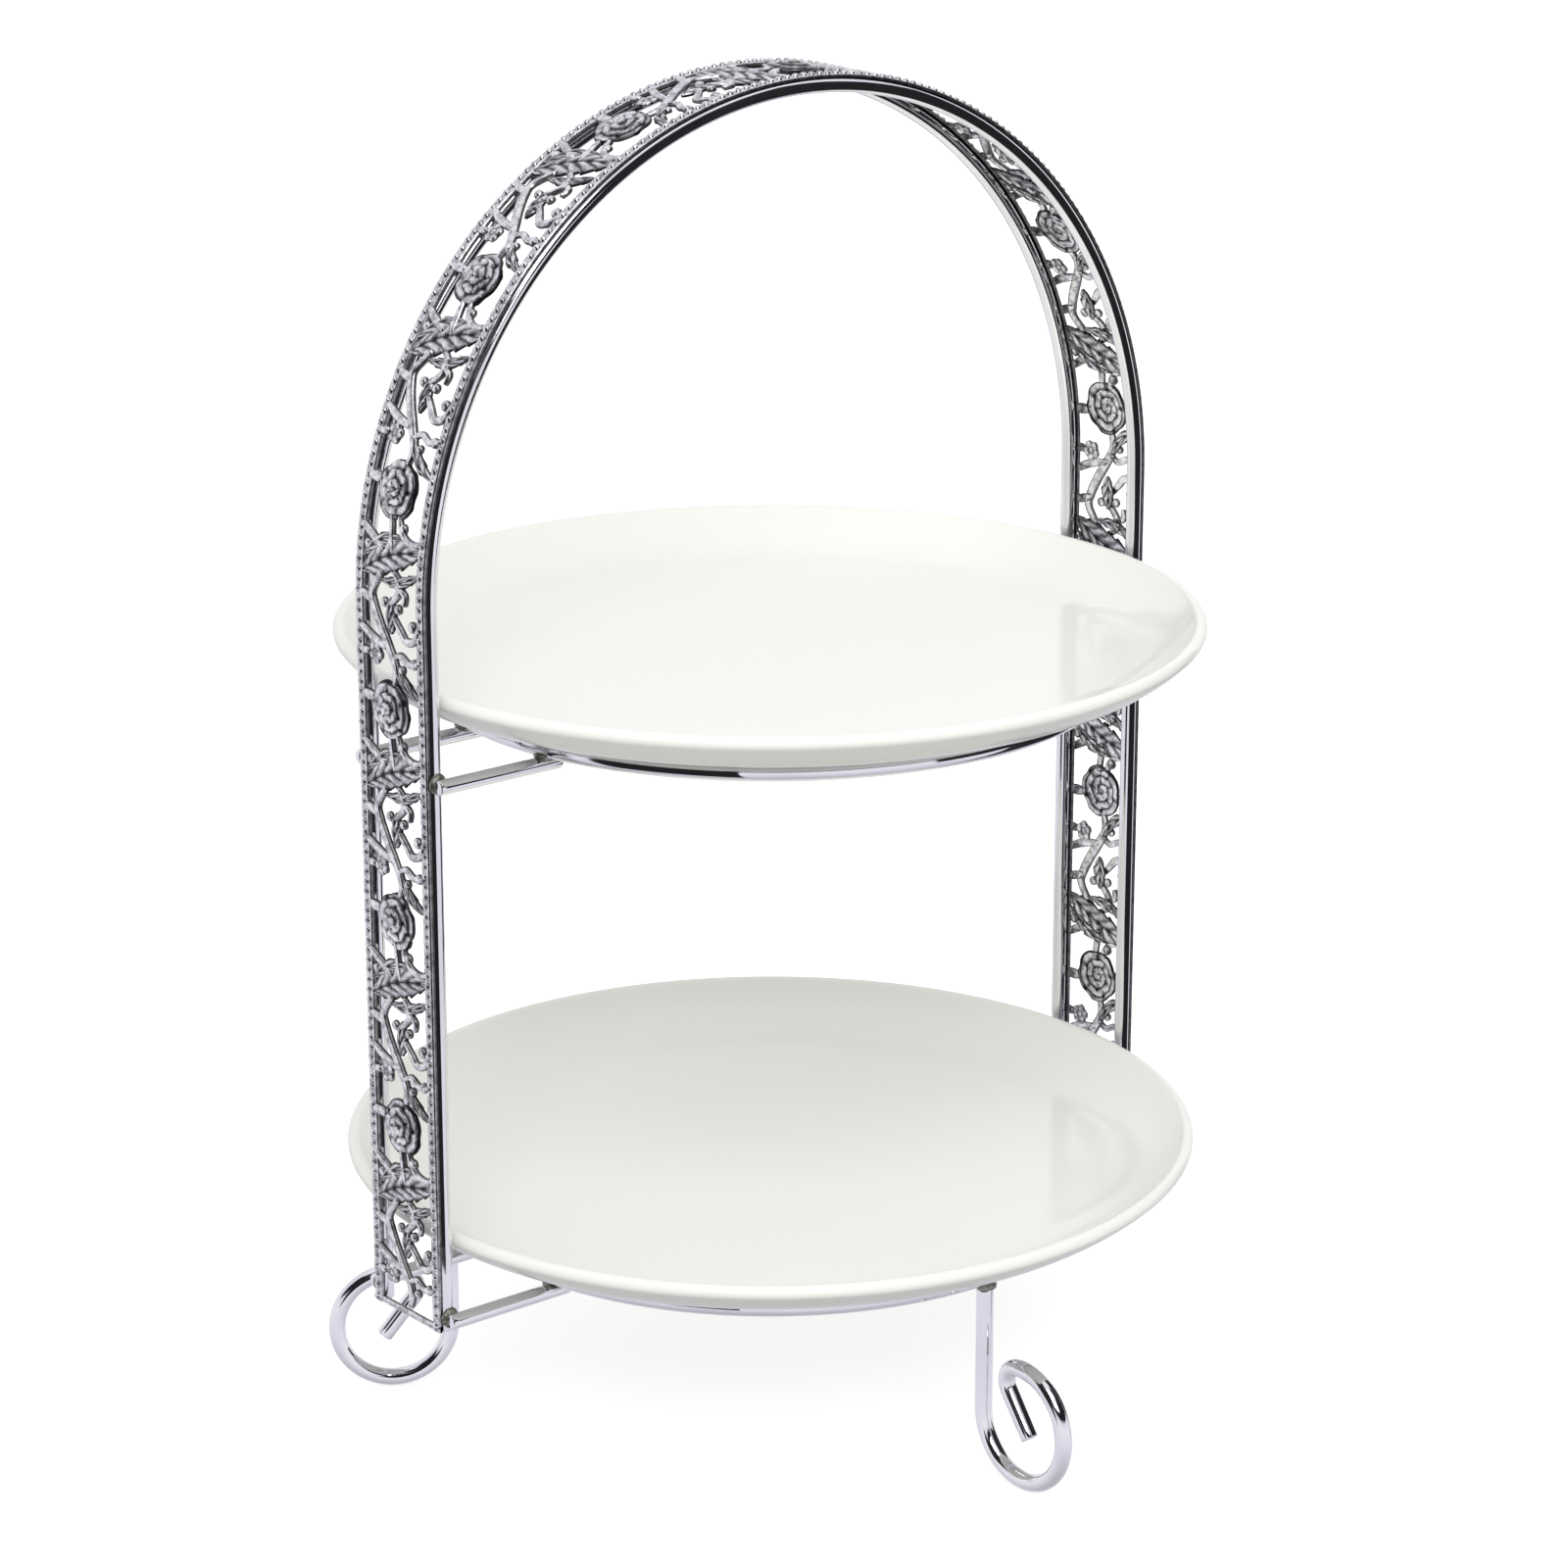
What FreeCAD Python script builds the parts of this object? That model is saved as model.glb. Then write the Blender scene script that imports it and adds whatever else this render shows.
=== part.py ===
import FreeCAD, Part
import math
import os

import Sketcher
from FreeCAD import Placement, Rotation, Vector

# A two-tier cake stand, in millimetres. Two arched wires with a pierced metal band round their outside
# carry two wire rings on short welded rods; three scrolled feet stand under the lower ring, and a loose
# coupe plate lies in each ring. +Z is up, the table is z = 0, the arch stands in the XZ plane and the
# front is -Y. The origin is on the stand's upright axis at table level.

SIZES = [
    ("plate_diameter", "200", "porcelain plate across its rim"),
    ("plate_depth", "9", "rim top down to the well"),
    ("plate_wall", "3.4", "thickness of the plate's middle"),
    ("plate_lip", "1.7", "radius of the rounded rim"),
    ("plate_curve_run", "22", "rim in to where the flat well starts"),
    ("plate_slope", "8", "underside slope where the ring carries it, degrees"),
    ("plate_slope_run", "5", "ring's centre line out to where the underside curves up"),
    ("plate_foot_inset", "7", "ring's centre line in to the plate's foot ring"),
    ("plate_foot_width", "4", "width of the plate's foot ring"),
    ("plate_foot_height", "0.9", "height of the plate's foot ring"),
    ("ring_inset", "23", "plate's rim in to the ring's centre line"),
    ("arch_wire", "3.5", "arch wire diameter"),
    ("ring_wire", "4", "ring wire diameter"),
    ("rod_wire", "3.5", "support rod diameter"),
    ("foot_wire", "4", "foot wire diameter"),
    ("limb_clearance", "1.25", "plate's rim to the inside of the arch wires"),
    ("wire_spacing", "23.2", "between the two arch wires' centre lines"),
    ("overall_height", "311.6", "table to the top of the band"),
    ("lower_ring_height", "47.5", "table to the lower ring's centre line"),
    ("tier_pitch", "125", "lower ring to upper ring"),
    ("limb_drop", "6.5", "lower ring's centre line down to the limbs' ends"),
    ("rod_outer_end", "1.2", "rod's outer end past the arch wire's centre line"),
    ("rod_inner_end", "4", "rod's inner end past the ring"),
    ("weld_sink", "0.25", "how far welded wires melt into each other"),
    ("foot_weld", "1", "how far a foot's stem runs up into the ring"),
    ("seat_gap", "0.3", "plate's underside to the ring"),
    ("band_width", "25.4", "band across both arch wires"),
    ("band_metal", "0.8", "sheet thickness of the band"),
    ("band_rail", "2.8", "solid edge on each side of the band"),
    ("band_margin", "1.5", "solid strip across each end of the band"),
    ("rose_diameter", "13.2", "rose boss"),
    ("flower_diameter", "5", "small flower boss"),
    ("bud_diameter", "2", "round buds on the stems"),
    ("stem_width", "1.6", "stems between the roses"),
    ("leaf_width", "7.5", "large leaf across its middle"),
    ("bud_leaf_width", "4.2", "half-open bud across its middle"),
    ("leaflet_width", "2.8", "narrow leaf below each rose"),
    ("motif_start", "45.5", "band's end to its first rose, along the band"),
    ("motif_repeat", "48.5", "rose to rose, along the band"),
    ("curl_diameter", "31", "foot's curl across the outside of its wire"),
    ("curl_end_angle", "100", "where the curl passes into its tight bend, degrees"),
    ("curl_bend", "4", "radius of the tight bend, at the wire's centre"),
    ("curl_tail", "12", "straight tail inside the curl"),
    ("curl_tail_angle", "53", "tail's slope below level, degrees"),
]

doc = FreeCAD.newDocument("TieredCakeStand")
sheet = doc.addObject("Spreadsheet::Sheet", "Sizes")
for row, (alias, text, meaning) in enumerate(SIZES, start=1):
    sheet.set(f"A{row}", meaning)
    sheet.set(f"B{row}", text)
    sheet.setAlias(f"B{row}", alias)
doc.recompute()

# Sizes that follow from the driving ones, as expressions for the sketches and features.
PLATE_RADIUS = "(Sizes.plate_diameter / 2)"
RING_RADIUS = f"({PLATE_RADIUS} - Sizes.ring_inset)"
WELL_RADIUS = f"({PLATE_RADIUS} - Sizes.plate_curve_run)"
ARCH_RADIUS = f"({PLATE_RADIUS} + Sizes.limb_clearance + Sizes.arch_wire / 2)"
BAND_INSIDE = f"({ARCH_RADIUS} + Sizes.arch_wire / 2)"
BAND_OUTSIDE = f"({BAND_INSIDE} + Sizes.band_metal)"
ARCH_CENTRE = f"(Sizes.overall_height - {BAND_OUTSIDE})"
LIMB_END = "(Sizes.lower_ring_height - Sizes.limb_drop)"
LOWER_RING = "(Sizes.lower_ring_height)"
UPPER_RING = "(Sizes.lower_ring_height + Sizes.tier_pitch)"
ROD_DROP = "((Sizes.ring_wire + Sizes.rod_wire) / 2 - Sizes.weld_sink)"
ROD_SIDE = "((Sizes.wire_spacing + Sizes.arch_wire + Sizes.rod_wire) / 2 - Sizes.weld_sink)"
ROD_OUTER = f"({ARCH_RADIUS} + Sizes.rod_outer_end)"
ROD_INNER = f"(sqrt({RING_RADIUS} ^ 2 - {ROD_SIDE} ^ 2) - Sizes.rod_inner_end)"
CURL_RADIUS = "((Sizes.curl_diameter - Sizes.foot_wire) / 2)"
CURL_CENTRE = f"({RING_RADIUS} + {CURL_RADIUS})"
CURL_HEIGHT = "(Sizes.curl_diameter / 2)"
STEM_TOP = "(Sizes.lower_ring_height - Sizes.ring_wire / 2 + Sizes.foot_weld)"

START, END, CENTRE = 1, 2, 3
ORIGIN, V_AXIS = -1, -2


def number(expression):
    """The present value of an expression of the sheet's sizes."""
    result = sheet.evalExpression(expression)
    return float(getattr(result, "Value", result))


def new_body(label):
    body = doc.addObject("PartDesign::Body", label)
    body.Label = label
    return body


def new_sketch(body, role, offset=None):
    """A sketch on one of the body's own origin planes, moved along the plane's normal."""
    plane = next(item for item in body.Origin.OriginFeatures if item.Role == role)
    sketch = body.newObject("Sketcher::SketchObject", f"{body.Name}_sketch")
    sketch.AttachmentSupport = [(plane, "")]
    sketch.MapMode = "FlatFace"
    if offset:
        sketch.setExpression(".AttachmentOffset.Base.z", offset)
    return sketch


def line(sketch, start, end):
    return sketch.addGeometry(Part.LineSegment(Vector(*start, 0), Vector(*end, 0)), False)


def arc(sketch, centre, radius, first, last):
    """An arc drawn counter-clockwise between two angles in degrees."""
    circle = Part.Circle(Vector(*centre, 0), Vector(0, 0, 1), radius)
    curve = Part.ArcOfCircle(circle, math.radians(first), math.radians(last))
    return sketch.addGeometry(curve, False)


def fix(sketch, kind, *where):
    sketch.addConstraint(Sketcher.Constraint(kind, *where))


def dimension(sketch, expression, kind, *where):
    """A constraint whose value is bound to an expression of the sheet's sizes."""
    value = number(expression)
    if kind == "Angle":
        value = math.radians(value)
    index = sketch.addConstraint(Sketcher.Constraint(kind, *where, value))
    sketch.setExpression(f"Constraints[{index}]", expression)


def wire_section(body, role, offset, across, side, up, diameter):
    """A round section; side is -1 where the section lies on the negative side of the plane's first axis."""
    sketch = new_sketch(body, role, offset)
    centre = Vector(side * number(across), number(up) if up else 0, 0)
    circle = sketch.addGeometry(Part.Circle(centre, Vector(0, 0, 1), number(diameter) / 2), False)
    dimension(sketch, f"{diameter} / 2", "Radius", circle)
    ends = (ORIGIN, START, circle, CENTRE) if side > 0 else (circle, CENTRE, ORIGIN, START)
    dimension(sketch, across, "DistanceX", *ends)
    if up:
        dimension(sketch, up, "DistanceY", ORIGIN, START, circle, CENTRE)
    else:
        fix(sketch, "PointOnObject", circle, CENTRE, -1)
    return sketch


def pipe(body, section, path):
    doc.recompute()
    feature = body.newObject("PartDesign::AdditivePipe", f"{body.Name}_pipe")
    feature.Profile = section
    feature.Spine = (path, [f"Edge{n}" for n in range(1, len(path.Shape.Edges) + 1)])
    return feature


def arch_outline(sketch, radius):
    """An upright arch: two limbs and a half circle over them. Returns the two limbs and the arc."""
    r, top, foot = number(radius), number(ARCH_CENTRE), number(LIMB_END)
    left = line(sketch, (-r, foot), (-r, top))
    crown = arc(sketch, (0, top), r, 0, 180)
    right = line(sketch, (r, top), (r, foot))
    fix(sketch, "Tangent", left, END, crown, END)
    fix(sketch, "Tangent", crown, START, right, START)
    fix(sketch, "Vertical", left)
    fix(sketch, "Vertical", right)
    fix(sketch, "PointOnObject", crown, CENTRE, V_AXIS)
    dimension(sketch, radius, "Radius", crown)
    dimension(sketch, ARCH_CENTRE, "DistanceY", ORIGIN, START, crown, CENTRE)
    dimension(sketch, LIMB_END, "DistanceY", ORIGIN, START, left, START)
    dimension(sketch, LIMB_END, "DistanceY", ORIGIN, START, right, END)
    return left, crown, right


def arch_wire(label, side):
    """One bent arch wire. side is -1 for the front wire and +1 for the rear one."""
    body = new_body(label)
    path = new_sketch(body, "XZ_Plane", f"{-side} * Sizes.wire_spacing / 2")
    arch_outline(path, ARCH_RADIUS)
    section = new_sketch(body, "XY_Plane", LIMB_END)
    spot = Vector(-number(ARCH_RADIUS), side * number("Sizes.wire_spacing") / 2, 0)
    circle = section.addGeometry(Part.Circle(spot, Vector(0, 0, 1), number("Sizes.arch_wire") / 2), False)
    dimension(section, "Sizes.arch_wire / 2", "Radius", circle)
    dimension(section, ARCH_RADIUS, "DistanceX", circle, CENTRE, ORIGIN, START)
    ends = (ORIGIN, START, circle, CENTRE) if side > 0 else (circle, CENTRE, ORIGIN, START)
    dimension(section, "Sizes.wire_spacing / 2", "DistanceY", *ends)
    pipe(body, section, path)
    return body


def ring(label, height):
    """A closed ring of round wire."""
    body = new_body(label)
    section = wire_section(body, "XZ_Plane", None, RING_RADIUS, 1, height, "Sizes.ring_wire")
    turn = body.newObject("PartDesign::Revolution", f"{label}_turn")
    turn.Profile = section
    turn.ReferenceAxis = (section, ["V_Axis"])
    turn.Angle = 360
    return body


def rod(label, ring_height, limb, side):
    """A short rod along X, welded to an arch wire's outer side and under the ring."""
    body = new_body(label)
    height = f"({ring_height} - {ROD_DROP})"
    begin = ROD_INNER if limb > 0 else f"(-1 * {ROD_OUTER})"
    section = wire_section(body, "YZ_Plane", begin, ROD_SIDE, side, height, "Sizes.rod_wire")
    pad = body.newObject("PartDesign::Pad", f"{label}_pad")
    pad.Profile = section
    pad.setExpression("Length", f"{ROD_OUTER} - {ROD_INNER}")
    return body


def foot(label, turn):
    """A scrolled foot: a stem under the ring, a curl that stands on the table, and a straight tail."""
    body = new_body(label)
    path = new_sketch(body, "XZ_Plane")
    inner, top, height = number(RING_RADIUS), number(STEM_TOP), number(CURL_HEIGHT)
    radius, centre = number(CURL_RADIUS), number(CURL_CENTRE)
    turn_end = number("Sizes.curl_end_angle")
    bend, tail = number("Sizes.curl_bend"), number("Sizes.curl_tail")
    slope = number("Sizes.curl_tail_angle")

    def around(middle, distance, degrees):
        angle = math.radians(degrees)
        return middle[0] + distance * math.cos(angle), middle[1] + distance * math.sin(angle)

    bend_centre = around((centre, height), radius - bend, turn_end)
    tail_start = around(bend_centre, bend, 270 - slope)
    tail_end = around(tail_start, tail, -slope)
    stem = line(path, (inner, top), (inner, height))
    curl = arc(path, (centre, height), radius, 180, 360 + turn_end)
    hook = arc(path, bend_centre, bend, turn_end, 270 - slope)
    end = line(path, tail_start, tail_end)
    fix(path, "Tangent", stem, END, curl, START)
    fix(path, "Tangent", curl, END, hook, START)
    fix(path, "Tangent", hook, END, end, START)
    fix(path, "Vertical", stem)
    dimension(path, RING_RADIUS, "DistanceX", ORIGIN, START, stem, START)
    dimension(path, STEM_TOP, "DistanceY", ORIGIN, START, stem, START)
    dimension(path, CURL_RADIUS, "Radius", curl)
    dimension(path, CURL_HEIGHT, "DistanceY", ORIGIN, START, curl, CENTRE)
    dimension(path, "Sizes.curl_bend", "Radius", hook)
    dimension(path, "Sizes.curl_tail", "Distance", end)
    lift = f"(({CURL_RADIUS} - Sizes.curl_bend) * sin(Sizes.curl_end_angle * 1deg))"
    dimension(path, lift, "DistanceY", curl, CENTRE, hook, CENTRE)
    drop = "(Sizes.curl_tail * sin(Sizes.curl_tail_angle * 1deg))"
    dimension(path, drop, "DistanceY", end, END, end, START)
    section = wire_section(body, "XY_Plane", STEM_TOP, RING_RADIUS, 1, None, "Sizes.foot_wire")
    pipe(body, section, path)
    body.Placement = Placement(Vector(0, 0, 0), Rotation(Vector(0, 0, 1), turn))
    return body


def plate(label, ring_height):
    """A coupe plate turned about its axis. Its sloped underside lies just off the ring."""
    rest = f"({ring_height} + (Sizes.ring_wire / 2 + Sizes.seat_gap) / cos(Sizes.plate_slope * 1deg))"
    base = f"({rest} - Sizes.plate_foot_inset * tan(Sizes.plate_slope * 1deg))"
    underside = f"({base} + Sizes.plate_foot_height)"
    well = f"({underside} + Sizes.plate_wall)"
    lip_height = f"({well} + Sizes.plate_depth - Sizes.plate_lip)"
    lip_radius = f"({PLATE_RADIUS} - Sizes.plate_lip)"
    foot_out = f"({RING_RADIUS} - Sizes.plate_foot_inset)"
    foot_in = f"({foot_out} - Sizes.plate_foot_width)"
    bend_radius = f"({RING_RADIUS} + Sizes.plate_slope_run)"
    bend_height = f"({rest} + Sizes.plate_slope_run * tan(Sizes.plate_slope * 1deg))"

    lip = number("Sizes.plate_lip")
    slope = number("Sizes.plate_slope")
    lip_x, lip_z = number(lip_radius), number(lip_height)
    well_x, well_z = number(WELL_RADIUS), number(well)
    bend_x, bend_z = number(bend_radius), number(bend_height)
    base_z, under_z = number(base), number(underside)
    # The inside curve touches the flat well and the rounded lip.
    across, rise = lip_x - well_x, lip_z - well_z
    inner = (across**2 + rise**2 - lip**2) / (2 * (rise + lip))
    inner_end = math.degrees(math.atan2(lip_z - well_z - inner, across))
    # The outside curve touches the sloped underside and the same lip.
    normal = math.radians(slope + 90)
    out, up = lip_x - bend_x, lip_z - bend_z
    reach = out * math.cos(normal) + up * math.sin(normal)
    outer = (out**2 + up**2 - lip**2) / (2 * (reach - lip))
    outer_x, outer_z = bend_x + outer * math.cos(normal), bend_z + outer * math.sin(normal)
    outer_end = math.degrees(math.atan2(lip_z - outer_z, lip_x - outer_x))

    body = new_body(label)
    profile = new_sketch(body, "XZ_Plane")
    axis = line(profile, (0, under_z), (0, well_z))
    flat = line(profile, (0, well_z), (well_x, well_z))
    inside = arc(profile, (well_x, well_z + inner), inner, 270, 360 + inner_end)
    rim = arc(profile, (lip_x, lip_z), lip, outer_end, 180 + inner_end)
    outside = arc(profile, (outer_x, outer_z), outer, 270 + slope, 360 + outer_end)
    incline = line(profile, (number(foot_out), base_z), (bend_x, bend_z))
    foot_base = line(profile, (number(foot_in), base_z), (number(foot_out), base_z))
    foot_wall = line(profile, (number(foot_in), under_z), (number(foot_in), base_z))
    bottom = line(profile, (0, under_z), (number(foot_in), under_z))
    fix(profile, "Coincident", axis, END, flat, START)
    fix(profile, "Tangent", flat, END, inside, START)
    fix(profile, "Tangent", inside, END, rim, END)
    fix(profile, "Tangent", rim, START, outside, END)
    fix(profile, "Tangent", outside, START, incline, END)
    fix(profile, "Coincident", incline, START, foot_base, END)
    fix(profile, "Coincident", foot_base, START, foot_wall, END)
    fix(profile, "Coincident", foot_wall, START, bottom, END)
    fix(profile, "Coincident", bottom, START, axis, START)
    fix(profile, "PointOnObject", axis, START, V_AXIS)
    fix(profile, "PointOnObject", axis, END, V_AXIS)
    fix(profile, "Horizontal", flat)
    fix(profile, "Horizontal", foot_base)
    fix(profile, "Vertical", foot_wall)
    fix(profile, "Horizontal", bottom)
    dimension(profile, WELL_RADIUS, "DistanceX", ORIGIN, START, flat, END)
    dimension(profile, well, "DistanceY", ORIGIN, START, flat, END)
    dimension(profile, underside, "DistanceY", ORIGIN, START, axis, START)
    dimension(profile, "Sizes.plate_lip", "Radius", rim)
    dimension(profile, lip_radius, "DistanceX", ORIGIN, START, rim, CENTRE)
    dimension(profile, lip_height, "DistanceY", ORIGIN, START, rim, CENTRE)
    dimension(profile, bend_radius, "DistanceX", ORIGIN, START, incline, END)
    dimension(profile, bend_height, "DistanceY", ORIGIN, START, incline, END)
    dimension(profile, foot_out, "DistanceX", ORIGIN, START, foot_base, END)
    dimension(profile, foot_in, "DistanceX", ORIGIN, START, foot_base, START)
    dimension(profile, base, "DistanceY", ORIGIN, START, foot_base, END)
    turn = body.newObject("PartDesign::Revolution", f"{label}_turn")
    turn.Profile = profile
    turn.ReferenceAxis = (profile, ["V_Axis"])
    turn.Angle = 360
    return body


def band_shell(label, inside, outside, width):
    """A U-shaped strip over the arch between two offsets of it, as wide as asked for."""
    body = new_body(label)
    outline = new_sketch(body, "XZ_Plane")
    near = arch_outline(outline, inside)
    far = arch_outline(outline, outside)
    for limb, point in ((0, START), (2, END)):
        near_end = outline.getPoint(near[limb], point)
        far_end = outline.getPoint(far[limb], point)
        cap = line(outline, (near_end.x, near_end.y), (far_end.x, far_end.y))
        fix(outline, "Coincident", cap, START, near[limb], point)
        fix(outline, "Coincident", cap, END, far[limb], point)
    pad = body.newObject("PartDesign::Pad", f"{label}_pad")
    pad.Profile = outline
    pad.SideType = "Symmetric"
    pad.setExpression("Length", width)
    return body


def along_band(distance):
    """The band's mid-surface at a distance from its left end: the point, the way along, the way out."""
    radius = number(f"({BAND_INSIDE} + Sizes.band_metal / 2)")
    top = number(ARCH_CENTRE)
    limb = top - number(LIMB_END)
    crown = math.pi * radius
    if distance < limb:
        return Vector(-radius, 0, number(LIMB_END) + distance), Vector(0, 0, 1), Vector(-1, 0, 0)
    if distance > limb + crown:
        return Vector(radius, 0, top - (distance - limb - crown)), Vector(0, 0, -1), Vector(1, 0, 0)
    angle = math.pi - (distance - limb) / radius
    outward = Vector(math.cos(angle), 0, math.sin(angle))
    return outward * radius + Vector(0, 0, top), Vector(math.sin(angle), 0, -math.cos(angle)), outward


def band_length():
    radius = number(f"({BAND_INSIDE} + Sizes.band_metal / 2)")
    return 2 * (number(ARCH_CENTRE) - number(LIMB_END)) + math.pi * radius


def punch(distance, outline):
    """A prism through the band. outline takes the frame's own maker of points and returns a wire."""
    origin, way, outward = along_band(distance)
    depth = 6 * number("Sizes.band_metal")

    def point(ahead, over):
        return origin + way * ahead + Vector(0, over, 0) - outward * (depth / 2)

    return Part.Face(outline(point)).extrude(outward * depth)


def boss(distance, centre, diameter):
    """A round boss centred at a place (along the band, across it towards its rear edge)."""

    def outline(point):
        _, _, outward = along_band(distance)
        return Part.Wire(Part.Circle(point(*centre), outward, diameter / 2).toShape())

    return punch(distance, outline)


def beside(start, finish, width):
    """The step from a line's middle out to one side of it."""
    length = math.dist(start, finish)
    return (start[1] - finish[1]) / length * width / 2, (finish[0] - start[0]) / length * width / 2


def leaf(distance, start, finish, width):
    """A pointed leaf between two places, with bowed sides."""

    def outline(point):
        middle = ((start[0] + finish[0]) / 2, (start[1] + finish[1]) / 2)
        side = beside(start, finish, width)
        one = point(middle[0] + side[0], middle[1] + side[1])
        other = point(middle[0] - side[0], middle[1] - side[1])
        there = Part.Arc(point(*start), one, point(*finish)).toShape()
        back = Part.Arc(point(*finish), other, point(*start)).toShape()
        return Part.Wire([there, back])

    return punch(distance, outline)


def bar(distance, start, finish, width):
    """A straight piece of stem between two places."""

    def outline(point):
        side = beside(start, finish, width)
        corners = [
            point(start[0] + side[0], start[1] + side[1]),
            point(finish[0] + side[0], finish[1] + side[1]),
            point(finish[0] - side[0], finish[1] - side[1]),
            point(start[0] - side[0], start[1] - side[1]),
        ]
        return Part.makePolygon(corners + corners[:1])

    return punch(distance, outline)


def motif():
    """One repeat of the rose vine: each piece's maker, its places, and its width.

    Places are (share of the repeat from the rose on, share of the band's half width). +1 is the band's
    rear edge and -1 its front edge.
    """
    stem, bud = number("Sizes.stem_width"), number("Sizes.bud_diameter")
    rose, flower = number("Sizes.rose_diameter"), number("Sizes.flower_diameter")
    stems = [
        [(0.03, 0.40), (0.03, 1)],
        [(0.12, -0.12), (0.20, -0.16), (0.29, 0.04), (0.37, 0.25), (0.46, 0.44), (0.53, 0.49), (0.63, 0.20)],
        [(0.35, 1), (0.28, 0.08)],
        [(0.24, 0.6), (0.24, 1)],
        [(0.25, -0.12), (0.25, -1)],
        [(0.48, 0.44), (0.51, 1)],
        [(0.42, -1), (0.34, -0.55), (0.40, -0.30), (0.44, -0.05)],
        [(0.48, -0.05), (0.56, -0.30), (0.64, -0.20)],
        [(0.82, 1), (0.74, 0.25)],
        [(0.78, -1), (0.77, -0.40), (0.82, -0.24), (0.90, -0.15)],
        [(0.73, -0.10), (0.80, 0.0), (0.90, 0.04)],
    ]
    pieces = [(bar, (start, end), stem) for run in stems for start, end in zip(run, run[1:])]
    pieces += [(boss, (place,), bud) for run in stems for place in run[1:-1]]
    pieces.append((boss, ((0, 0),), rose))
    pieces.append((boss, ((0.24, 0.45),), flower))
    pieces.append((leaf, ((0.08, -0.98), (0.23, -0.12)), number("Sizes.leaflet_width")))
    pieces.append((leaf, ((0.36, -0.05), (0.51, -0.03)), number("Sizes.bud_leaf_width")))
    pieces.append((leaf, ((0.60, 0.98), (0.76, -0.98)), number("Sizes.leaf_width")))
    return pieces


def lace_band(label):
    """The pierced band: two solid edges and a closing strip at each end, with the rose vine between."""
    edge = number("Sizes.band_width") / 2
    repeat, margin = number("Sizes.motif_repeat"), number("Sizes.band_margin")
    length = band_length()
    shell = band_shell("band_sheet", BAND_INSIDE, BAND_OUTSIDE, "Sizes.band_width")
    window = band_shell(
        "band_window",
        f"({BAND_INSIDE} - Sizes.band_metal)",
        f"({BAND_OUTSIDE} + Sizes.band_metal)",
        "Sizes.band_width - 2 * Sizes.band_rail",
    )
    doc.recompute()

    shapes = [bar(end, (0, -edge), (0, edge), margin) for end in (margin / 2, length - margin / 2)]
    first = number("Sizes.motif_start") - repeat
    for count in range(math.ceil((length - first) / repeat)):
        for maker, places, width in motif():
            shares = [place[0] for place in places]
            middle = sum(shares) / len(shares)
            centre = first + (count + middle) * repeat
            reach = (max(shares) - min(shares)) * repeat / 2 + width / 2
            if reach <= centre <= length - reach:
                spots = [((share - middle) * repeat, side * edge) for share, side in places]
                shapes.append(maker(centre, *spots, width))
    motifs = doc.addObject("Part::Feature", "band_motifs")
    motifs.Shape = shapes[0].multiFuse(shapes[1:])

    edges = doc.addObject("Part::Cut", "band_edges")
    edges.Base = shell
    edges.Tool = window
    lace = doc.addObject("Part::Common", "band_lace")
    lace.Base = doc.copyObject(shell, True)
    lace.Tool = motifs
    whole = doc.addObject("Part::MultiFuse", label)
    whole.Label = label
    whole.Shapes = [edges, lace]
    return whole


nodes = [arch_wire("front_arch_wire", -1), arch_wire("rear_arch_wire", 1)]
nodes.append(lace_band("lace_band"))
for tier, ring_height in (("upper", UPPER_RING), ("lower", LOWER_RING)):
    nodes.append(ring(f"{tier}_ring", ring_height))
    for limb_name, limb in (("left", -1), ("right", 1)):
        for side_name, side in (("front", -1), ("rear", 1)):
            nodes.append(rod(f"{tier}_{limb_name}_{side_name}_rod", ring_height, limb, side))
    nodes.append(plate(f"{tier}_plate", ring_height))
for foot_name, turn in (("left", 150), ("front", 270), ("right", 30)):
    nodes.append(foot(f"foot_{foot_name}", turn))
doc.recompute()

for item in doc.Objects:
    if "Invalid" in item.State or "Error" in item.State:
        raise RuntimeError(f"{item.Label} failed: {item.State}")
for node in nodes:
    if node.Shape.isNull() or not node.Shape.isValid() or len(node.Shape.Solids) != 1:
        raise RuntimeError(f"{node.Label} isn't one valid solid")

os.makedirs("parts", exist_ok=True)
for node in nodes:
    node.Shape.exportStep(f"parts/{node.Label}.step")
    print(f"{node.Label}: {node.Shape.Volume:.0f} mm3")
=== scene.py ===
import math

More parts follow.
